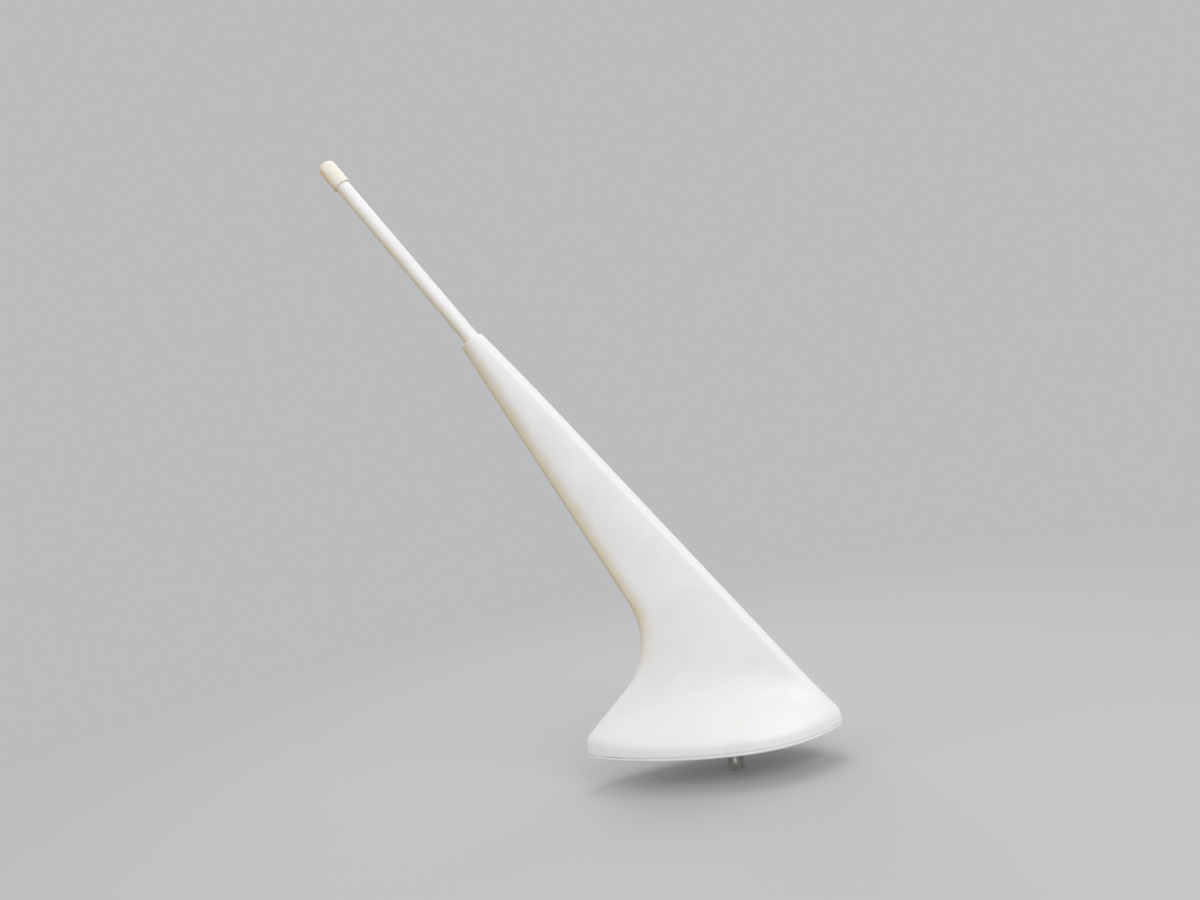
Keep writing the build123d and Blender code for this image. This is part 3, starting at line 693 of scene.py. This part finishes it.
def broken_edges(node, name, width, limit=30.0):
    """Copy of a CAD node: doubles merged, flat faces rejoined, and every edge over the limit bevelled."""
    shape = bmesh.new()
    shape.from_mesh(nodes[node].data)
    bmesh.ops.remove_doubles(shape, verts=shape.verts, dist=same_place)
    bmesh.ops.dissolve_limit(
        shape, angle_limit=radians(flat_angle), verts=shape.verts, edges=shape.edges
    )
    inner_edges = [edge for edge in shape.edges if edge.is_manifold]
    sharp = [edge for edge in inner_edges if edge.calc_face_angle() > radians(limit)]
    offset = width * millimetre
    bmesh.ops.bevel(
        shape, geom=sharp, offset=offset, segments=2, profile=0.5, affect="EDGES", clamp_overlap=True
    )
    bmesh.ops.recalc_face_normals(shape, faces=shape.faces)
    mesh = bpy.data.meshes.new(name)
    shape.to_mesh(mesh)
    shape.free()
    upright = np.abs(read_vectors(mesh.polygons, "normal")[:, 2])
    mesh.polygons.foreach_set("use_smooth", upright < level_upright)
    mesh.set_sharp_from_angle(angle=radians(limit))
    print(name, len(mesh.polygons), "faces")
    return add_piece(name, mesh, node)


plate = broken_edges("base_plate", "plate_body", 0.3, limit=50.0)
jack = broken_edges("connector_shell", "jack_body", 0.12)

# %% [markdown]
# ## Helpers for materials
# A material is a small graph of shader nodes. These helpers keep the graphs short: one gives a socket its
# value or its link, one adds a node with all its values, one starts a material, and one gives it to the
# pieces that carry it.


# %% Node helpers
def feed(socket, value):
    """Give a socket what it needs: a link from another socket, a colour of three parts, or a value."""
    if isinstance(value, bpy.types.NodeSocket):
        socket.id_data.links.new(value, socket)
    elif socket.type == "RGBA":
        socket.default_value = (*value, 1.0)
    else:
        socket.default_value = value


def add_node(tree, kind, **values):
    """Add a shader node; each value sets its property of that name or, if it has none, its socket."""
    node = tree.nodes.new(kind)
    for name, value in values.items():
        if hasattr(node, name):
            setattr(node, name, value)
        else:
            feed(node.inputs[name.replace("_", " ")], value)
    return node


def calculate(tree, operation, first, second, use_clamp=False):
    """What an operation makes of two numbers, each of them a socket or a plain number."""
    node = add_node(tree, "ShaderNodeMath", operation=operation, use_clamp=use_clamp)
    feed(node.inputs[0], first)
    feed(node.inputs[1], second)
    return node.outputs["Value"]


def new_material(name, roughness, metallic=0.0):
    """A material with a Principled shader, its tree, and its Object coordinates."""
    material = bpy.data.materials.new(name)
    material.use_nodes = True
    tree = material.node_tree
    shader = tree.nodes["Principled BSDF"]
    feed(shader.inputs["Roughness"], roughness)
    feed(shader.inputs["Metallic"], metallic)
    place = tree.nodes.new("ShaderNodeTexCoord").outputs["Object"]
    return material, tree, shader, place


def dress(material, *things):
    """Give pieces, or CAD nodes by name, a material in place of their own."""
    for thing in things:
        owner = nodes[thing] if isinstance(thing, str) else thing
        owner.data.materials.clear()
        owner.data.materials.append(material)


# %% [markdown]
# ## Shared effects
# Four effects turn up in several finishes: cloudy staining, the fine unevenness of a sprayed or moulded
# skin, the lines that machining leaves, and a fade that goes with a distance stored on the piece. Each is
# a node group, built once and placed in a material with its own values.


# %% New group
def new_group(name, vectors, numbers, result):
    """Node group with vector inputs, number inputs with their start values, and one number as its result.

    It comes back with its inputs by name and the socket that takes the result.
    """
    group = bpy.data.node_groups.new(name, "ShaderNodeTree")
    for title in vectors:
        group.interface.new_socket(title, in_out="INPUT", socket_type="NodeSocketVector")
    for title, start in numbers.items():
        socket = group.interface.new_socket(title, in_out="INPUT", socket_type="NodeSocketFloat")
        socket.default_value = start
    group.interface.new_socket(result, in_out="OUTPUT", socket_type="NodeSocketFloat")
    given = group.nodes.new("NodeGroupInput").outputs
    return group, given, group.nodes.new("NodeGroupOutput").inputs[result]


def noise(tree, place, scale, **values):
    """Soft noise between 0 and 1; its scale is the number of blots in a metre."""
    return add_node(tree, "ShaderNodeTexNoise", Vector=place, Scale=scale, **values).outputs["Fac"]


# %% Cloudy staining
# The mask is noise, stretched so that it is 0 below one level and 1 above another.
staining_values = {"Scale": 20.0, "Low": 0.45, "High": 0.7}
staining, given, result = new_group("staining", ["Place"], staining_values, "Mask")
cloud = noise(staining, given["Place"], given["Scale"], Detail=5.0, Roughness=0.62)
levels = {"From_Min": given["Low"], "From_Max": given["High"]}
feed(result, add_node(staining, "ShaderNodeMapRange", Value=cloud, **levels).outputs["Result"])

# %% Sprayed or moulded skin
# The height is a broad ripple plus a share of fine grain.
skin_values = {"Ripple Scale": 300.0, "Grain Scale": 1500.0, "Grain Share": 0.25}
sprayed_skin, given, result = new_group("sprayed_skin", ["Place"], skin_values, "Height")
ripple = noise(sprayed_skin, given["Place"], given["Ripple Scale"], Detail=1.0)
grain = noise(sprayed_skin, given["Place"], given["Grain Scale"], Detail=3.0)
weighed = calculate(sprayed_skin, "MULTIPLY", grain, given["Grain Share"])
feed(result, calculate(sprayed_skin, "ADD", ripple, weighed))

# %% Machining lines
# Noise in a space that is squeezed more across the lines than along them.
machining, given, result = new_group("machining", ["Place", "Stretch"], {}, "Lines")
squeeze = add_node(machining, "ShaderNodeVectorMath", operation="MULTIPLY")
feed(squeeze.inputs[0], given["Place"])
feed(squeeze.inputs[1], given["Stretch"])
feed(result, noise(machining, squeeze.outputs["Vector"], 1.0, Detail=3.0, Roughness=0.6))

# %% Fade with distance
# The mask is 1 at distance 0 and falls to 0 at the reach; noise moves the border in and out.
fading_values = {"Distance": 0.0, "Reach": 0.007, "Scale": 120.0, "Unevenness": 0.3}
fading, given, result = new_group("fading", ["Place"], fading_values, "Mask")
noise_middle = 0.5
patches = noise(fading, given["Place"], given["Scale"], Detail=4.0, Roughness=0.6)
centred = calculate(fading, "SUBTRACT", patches, noise_middle)
push = calculate(fading, "MULTIPLY", centred, given["Unevenness"])
share = calculate(fading, "DIVIDE", given["Distance"], given["Reach"])
moved = calculate(fading, "ADD", share, push)
falloff = add_node(
    fading, "ShaderNodeMapRange", interpolation_type="SMOOTHSTEP", Value=moved, To_Min=1.0, To_Max=0.0
)
feed(result, falloff.outputs["Result"])
print("node groups:", [group.name for group in bpy.data.node_groups])


# %% Placing effects
def place_group(tree, group, place, **values):
    """Result of a shared effect that is put in a material with its own values."""
    node = tree.nodes.new("ShaderNodeGroup")
    node.node_tree = group
    feed(node.inputs["Place"], place)
    for name, value in values.items():
        feed(node.inputs[name.replace("_", " ")], value)
    return node.outputs[0]


def blend_colours(tree, mask, first, second):
    """Colour that goes from the first to the second as the mask goes from 0 to 1."""
    mix = add_node(tree, "ShaderNodeMix", data_type="RGBA", Factor=mask, A=first, B=second)
    return mix.outputs["Result"]


def blend_values(tree, mask, low, high):
    """Value that goes from low to high as the mask goes from 0 to 1."""
    return add_node(tree, "ShaderNodeMapRange", Value=mask, To_Min=low, To_Max=high).outputs["Result"]


def weigh_masks(tree, first, second):
    """Product of two masks, or of a mask and a number."""
    return calculate(tree, "MULTIPLY", first, second, use_clamp=True)


def place_between(tree, place, axis, start, end):
    """Mask that goes from 0 to 1 between two places along an axis, in metres."""
    along = add_node(tree, "ShaderNodeSeparateXYZ", Vector=place).outputs[axis]
    spread = add_node(tree, "ShaderNodeMapRange", Value=along, From_Min=start, From_Max=end)
    return spread.outputs["Result"]


def stored_distance(tree, name):
    """The number stored at the piece's points under a name."""
    return add_node(tree, "ShaderNodeAttribute", attribute_name=name).outputs["Fac"]


def emboss(tree, shader, height, distance, strength):
    """Let a height disturb the shader's normal, by a real depth in metres."""
    bump = add_node(tree, "ShaderNodeBump", Height=height, Distance=distance, Strength=strength)
    feed(shader.inputs["Normal"], bump.outputs["Normal"])


def finish_with(shader, colour, roughness):
    """Give the shader a colour and a roughness that change over the surface."""
    feed(shader.inputs["Base Color"], colour)
    feed(shader.inputs["Roughness"], roughness)


# %% [markdown]
# ## White paint
# The fairing, the rod and the edge of the base plate carry a semi-gloss white paint. It has the slight
# ripple of a sprayed coat, dull clouds and a few grey specks. Along the sides that face aft, above the
# foot, a cream tint is painted warm shade where the rounded edges turn from the light, together with a
# little yellowing of the paint. The cream could be painted by hand as an image, but a distance from the
# trailing edge, stored on the pieces, puts it in place on all of them.

# %% White paint
paint_white = (0.86, 0.86, 0.85)
paint_dull = (0.82, 0.815, 0.79)
# The cream is painted warm shade along the aft edges, with a little yellowing of the paint
paint_cream_shade = (0.68, 0.585, 0.42)
paint_grey = (0.60, 0.59, 0.56)
cream_shade_start = 0.045
cream_shade_full = 0.085
speck_strength = 0.6

paint, tree, shader, place = new_material("white_paint", 0.42)
clouds = place_group(tree, staining, place, Scale=26.0, Low=0.46, High=0.72)
colour = blend_colours(tree, clouds, paint_white, paint_dull)
# Painted shade: a cream band along the aft edges, above the foot, fading forward from the trailing edge
from_tail = stored_distance(tree, "from_tail")
aft_shade = place_group(tree, fading, place, Distance=from_tail, Reach=0.013, Scale=90.0, Unevenness=0.4)
above_heel = place_between(tree, place, "Z", cream_shade_start, cream_shade_full)
cream_shade_mask = weigh_masks(tree, aft_shade, above_heel)
colour = blend_colours(tree, cream_shade_mask, colour, paint_cream_shade)
specks = place_group(tree, staining, place, Scale=420.0, Low=0.67, High=0.74)
colour = blend_colours(tree, weigh_masks(tree, specks, speck_strength), colour, paint_grey)
finish_with(shader, colour, blend_values(tree, clouds, low=0.38, high=0.48))
skin = place_group(tree, sprayed_skin, place, Ripple_Scale=150.0, Grain_Scale=700.0, Grain_Share=0.08)
emboss(tree, shader, skin, distance=0.00004, strength=0.35)
dress(paint, fairing_skin, whip_skin)

# %% [markdown]
# ## Base plate
# Underneath, the plate is bare machined aluminium. Its edge was sprayed together with the fairing, and a
# little paint has crept over the corner. Two materials on one piece do that: the faces of the outer wall
# get the paint, and the others the metal.

# %% Bare aluminium
line_dark = (0.60, 0.60, 0.595)
line_bright = (0.72, 0.72, 0.715)
aluminium_stain = (0.50, 0.50, 0.485)

aluminium, tree, shader, place = new_material("bare_aluminium", 0.38, 1.0)
lines = place_group(tree, machining, place, Stretch=(30.0, 1400.0, 1400.0))
clouds = place_group(tree, staining, place, Scale=45.0, Low=0.42, High=0.66)
colour = blend_colours(tree, lines, line_dark, line_bright)
colour = blend_colours(tree, clouds, colour, aluminium_stain)
finish_with(shader, colour, blend_values(tree, lines, low=0.30, high=0.46))
emboss(tree, shader, lines, distance=0.00002, strength=0.6)
dress(aluminium, plate)

# %% Painted edge of the plate
edge_reach = 4.0
edge_upright = 0.8
edge_height = 2.3
plate_middle = np.array([-10.0, 0.0])

mark_points(plate, "from_tail", distance_from_tail(read_vectors(plate.data.vertices, "co") / millimetre))
normals = read_vectors(plate.data.polygons, "normal")
centres = read_vectors(plate.data.polygons, "center") / millimetre
edge_outline = oval_point(rim_level)[:, :2]
gaps = np.linalg.norm(centres[:, None, :2] - edge_outline[None], axis=-1).min(axis=1)
outward = np.einsum("ij,ij->i", normals[:, :2], centres[:, :2] - plate_middle) > 0
wall_like = (np.abs(normals[:, 2]) < edge_upright) & (centres[:, 2] < edge_height)
painted = (gaps < edge_reach) & outward & wall_like
plate.data.materials.append(paint)
plate.data.polygons.foreach_set("material_index", painted.astype(np.int32))
print("painted faces of the plate:", int(painted.sum()), "of", len(painted))

# %% [markdown]
# ## Cap plastic
# The cap is an unpainted plastic moulding that sun has turned ivory. The tan on the side that faces aft
# is painted shade. It has the same effects as the paint, with other colours and smaller patterns.

# %% Cap plastic
cap_ivory = (0.88, 0.85, 0.76)
cap_yellowed = (0.85, 0.80, 0.68)
# The tan is painted shade on the side of the cap that faces aft
cap_shade_tan = (0.74, 0.56, 0.34)
cap_grime = (0.45, 0.38, 0.28)
grime_strength = 0.4

ivory, tree, shader, place = new_material("cap_plastic", 0.42)
clouds = place_group(tree, staining, place, Scale=180.0, Low=0.4, High=0.72)
colour = blend_colours(tree, clouds, cap_ivory, cap_yellowed)
from_tail = stored_distance(tree, "from_tail")
# Painted shade: the side of the cap that faces aft turns tan
aft_shade = place_group(tree, fading, place, Distance=from_tail, Reach=0.007, Scale=260.0, Unevenness=0.5)
colour = blend_colours(tree, aft_shade, colour, cap_shade_tan)
grime = place_group(tree, staining, place, Scale=700.0, Low=0.62, High=0.72)
colour = blend_colours(tree, weigh_masks(tree, grime, grime_strength), colour, cap_grime)
finish_with(shader, colour, blend_values(tree, clouds, low=0.36, high=0.5))
skin = place_group(tree, sprayed_skin, place, Ripple_Scale=300.0, Grain_Scale=1200.0, Grain_Share=0.1)
emboss(tree, shader, skin, distance=0.00004, strength=0.4)
dress(ivory, cap_skin)

# %% [markdown]
# ## Colour of the sealant
# The sealant is off-white where it is clean, with clouds of dirt. Towards the aft tip the clouds are
# weighed up as painted shade, for that end lies in shade, so the mask of the dirt is weighed by the
# place along the antenna.

# %% Colour of the sealant
sealant_clean = (0.82, 0.81, 0.77)
# The dark colour is dirt, and towards the aft tip also painted shade
sealant_dirt_and_shade = (0.42, 0.37, 0.29)
sealant_shade_start = -0.02
sealant_shade_full = -0.085

sealant, tree, shader, place = new_material("sealant", 0.55)
dirt = place_group(tree, staining, place, Scale=70.0, Low=0.42, High=0.62)
# Painted shade: the dirt is weighed up towards the aft tip, the end that lies in shade
towards_aft = place_between(tree, place, "X", sealant_shade_start, sealant_shade_full)
dirt_and_shade_strength = blend_values(tree, towards_aft, low=0.05, high=0.9)
dirt_and_shade_mask = weigh_masks(tree, dirt, dirt_and_shade_strength)
colour = blend_colours(tree, dirt_and_shade_mask, sealant_clean, sealant_dirt_and_shade)
finish_with(shader, colour, blend_values(tree, dirt_and_shade_mask, low=0.45, high=0.75))
skin = place_group(tree, sprayed_skin, place, Ripple_Scale=900.0, Grain_Scale=3500.0, Grain_Share=0.4)
emboss(tree, shader, skin, distance=0.00008, strength=0.6)
dress(sealant, seam_bead, cap_bead)

# %% [markdown]
# ## Metals
# Nickel plate, stainless steel, brass and copper share one build: a base metal, a duller tarnish in
# clouds, and fine lines from turning or drawing. The numbers differ: a plated shell is bright and nearly
# even, a brass sheet has drawn lines along it and brown clouds. Each row gives the bright and the dull
# colour, the roughness of each, the scale of the clouds, and how the lines are squeezed along x, y and z.

# %% Metals
metals = {
    "nickel": ((0.78, 0.76, 0.71), (0.58, 0.55, 0.49), 0.20, 0.36, 250.0, (300.0, 300.0, 6000.0)),
    "stainless": ((0.60, 0.60, 0.59), (0.43, 0.43, 0.42), 0.26, 0.42, 300.0, (300.0, 300.0, 5000.0)),
    "brass": ((0.70, 0.51, 0.23), (0.47, 0.31, 0.13), 0.30, 0.50, 90.0, (60.0, 2500.0, 1200.0)),
    "copper": ((0.72, 0.41, 0.26), (0.48, 0.24, 0.14), 0.28, 0.45, 200.0, (1500.0, 1500.0, 1500.0)),
}
slots = {row["node"]: row["material_slot"] for row in frame["record"]["subparts"]}
skinned = (
    "fairing", "whip_tube", "tip_cap", "cap_sealant", "seam_sealant", "base_plate", "connector_shell"
)
added = {"nickel": [jack], "stainless": [insert_threads]}


def shown_nodes(slot):
    """Names of the CAD nodes that have a material slot and aren't replaced by a piece made here."""
    return [node for node, its_slot in slots.items() if its_slot == slot and node not in skinned]


for slot, (bright, dull, polish, tarnished, scale, stretch) in metals.items():
    material, tree, shader, place = new_material(slot, polish, 1.0)
    clouds = place_group(tree, staining, place, Scale=scale, Low=0.44, High=0.68)
    lines = place_group(tree, machining, place, Stretch=stretch)
    shade = weigh_masks(tree, lines, clouds)
    colour = blend_colours(tree, shade, bright, dull)
    finish_with(shader, colour, blend_values(tree, clouds, polish, tarnished))
    emboss(tree, shader, lines, distance=0.00002, strength=0.4)
    dress(material, *shown_nodes(slot), *added.get(slot, []))
    print(slot, "on", shown_nodes(slot))

# %% [markdown]
# ## Plastics, foam and board
# Most pieces inside the blade are never seen, but they are finished plainly all the same: a green board,
# a white insulator, black rubber, brown capacitors, and a cream foam with open pores. Each row gives two
# colours, the roughness, the scales of the clouds and of the grain, and the depth of the grain in metres.

# %% Plastics, foam and board
moulded_grain = 0.6
plastics = {
    "board": ((0.05, 0.17, 0.07), (0.08, 0.24, 0.10), 0.35, 180.0, 1200.0, 0.00003),
    "insulator": ((0.82, 0.82, 0.80), (0.74, 0.73, 0.69), 0.40, 300.0, 1500.0, 0.00003),
    "gasket": ((0.025, 0.025, 0.025), (0.05, 0.05, 0.048), 0.60, 500.0, 2500.0, 0.00005),
    "capacitor": ((0.30, 0.20, 0.10), (0.37, 0.26, 0.14), 0.45, 500.0, 2500.0, 0.00004),
    "foam": ((0.80, 0.75, 0.58), (0.68, 0.62, 0.44), 0.90, 900.0, 1500.0, 0.0004),
}
for slot, (first, second, roughness, scale, grain_scale, depth) in plastics.items():
    material, tree, shader, place = new_material(slot, roughness)
    clouds = place_group(tree, staining, place, Scale=scale, Low=0.4, High=0.65)
    feed(shader.inputs["Base Color"], blend_colours(tree, clouds, first, second))
    scales = {"Ripple_Scale": scale, "Grain_Scale": grain_scale}
    skin = place_group(tree, sprayed_skin, place, Grain_Share=moulded_grain, **scales)
    emboss(tree, shader, skin, distance=depth, strength=0.6)
    dress(material, *shown_nodes(slot))
    print(slot, "on", shown_nodes(slot))

# %% [markdown]
# ## Floor and backdrop
# The floor is one large plate in a pale grey that lets the white paint stand out. Its edge would draw a
# horizon across the picture, so away from the antenna its colour fades into the colour of the backdrop.
# Only rays from the camera, or those seen in gloss or glass, meet that painted colour: the light on the
# antenna stays that of the lamps and the sky.

# %% Floor
floor_level = cad_low.z
floor_reach = 8.0
backdrop = (0.50, 0.505, 0.515)
floor_grey = (0.49, 0.495, 0.505)
fade_start = 0.2
fade_end = 0.8
floor_mesh = bpy.data.meshes.new("floor")
corners = np.array([[-1, -1], [1, -1], [1, 1], [-1, 1]]) * floor_reach
floor_mesh.from_pydata([(x, y, floor_level) for x, y in corners.tolist()], [], [(0, 1, 2, 3)])
floor = bpy.data.objects.new("floor", floor_mesh)
bpy.context.scene.collection.objects.link(floor)


def seen_directly(tree):
    """Mask of the rays that show a surface as it is: from the camera, in gloss, or through glass."""
    path = tree.nodes.new("ShaderNodeLightPath").outputs
    seen = calculate(tree, "MAXIMUM", path["Is Camera Ray"], path["Is Glossy Ray"])
    return calculate(tree, "MAXIMUM", seen, path["Is Transmission Ray"])


def mix_shaders(tree, mask, first, second, surface):
    """Show a surface with the first shader where the mask is 0, and with the second where it is 1."""
    mix = tree.nodes.new("ShaderNodeMixShader")
    for socket, source in zip(mix.inputs, (mask, first, second)):
        feed(socket, source)
    feed(surface, mix.outputs["Shader"])


material, tree, shader, place = new_material("floor", 0.9)
feed(shader.inputs["Base Color"], floor_grey)
length = add_node(tree, "ShaderNodeVectorMath", operation="LENGTH")
feed(length.inputs[0], place)
fade = {"Value": length.outputs["Value"], "From_Min": fade_start, "From_Max": fade_end}
far = add_node(tree, "ShaderNodeMapRange", interpolation_type="SMOOTHSTEP", **fade)
glow = add_node(tree, "ShaderNodeEmission", Color=backdrop).outputs["Emission"]
far_seen = weigh_masks(tree, far.outputs["Result"], seen_directly(tree))
surface = tree.nodes["Material Output"].inputs["Surface"]
mix_shaders(tree, far_seen, shader.outputs["BSDF"], glow, surface)
dress(material, floor)

# %% Backdrop
# The world lights the antenna as a white sky, and shows itself as the backdrop's colour.
surround = 0.62
sky_white = (0.98, 0.99, 1.0)
world = bpy.data.worlds.new("studio")
world.use_nodes = True
bpy.context.scene.world = world
tree = world.node_tree
soft = tree.nodes["Background"]
feed(soft.inputs["Color"], sky_white)
feed(soft.inputs["Strength"], surround)
plain = add_node(tree, "ShaderNodeBackground", Color=backdrop)
surface = tree.nodes["World Output"].inputs["Surface"]
mix_shaders(tree, seen_directly(tree), soft.outputs["Background"], plain.outputs["Background"], surface)
print("floor at", floor_level, "backdrop", backdrop)

# %% [markdown]
# ## Lamps
# The light in the photograph comes from ahead of the antenna and from above, so the sides that face aft
# fall into a soft shade. A large lamp beside the camera does that, and a weak, warm one fills the shade.
# One above puts the shadow under the base, and one behind lights the far side.


# %% Lamps
def soft_lamp(name, place, aim, side, power, tint=(1.0, 1.0, 1.0)):
    """A square area lamp that looks at a point; its side is in metres and its power in watts."""
    lamp = bpy.data.lights.new(name, "AREA")
    lamp.size = side
    lamp.energy = power
    lamp.color = tint
    holder = bpy.data.objects.new(name, lamp)
    look = aim - Vector(place)
    turn = look.to_track_quat("-Z", "Y").to_matrix().to_4x4()
    holder.matrix_world = Matrix.Translation(Vector(place)) @ turn
    bpy.context.scene.collection.objects.link(holder)
    print(name, power, "watts from", place)


middle = (cad_low + cad_high) / 2
warm = (1.0, 0.93, 0.84)
soft_lamp("key", (0.9, -1.2, 1.0), middle, side=1.4, power=15.0)
soft_lamp("fill", (-1.4, -0.6, 0.7), middle, side=1.0, power=2.3, tint=warm)
soft_lamp("top", (0.1, 0.5, 1.6), middle, side=1.0, power=6.0)
soft_lamp("back", (-0.6, 1.4, 0.8), middle, side=1.0, power=5.0)
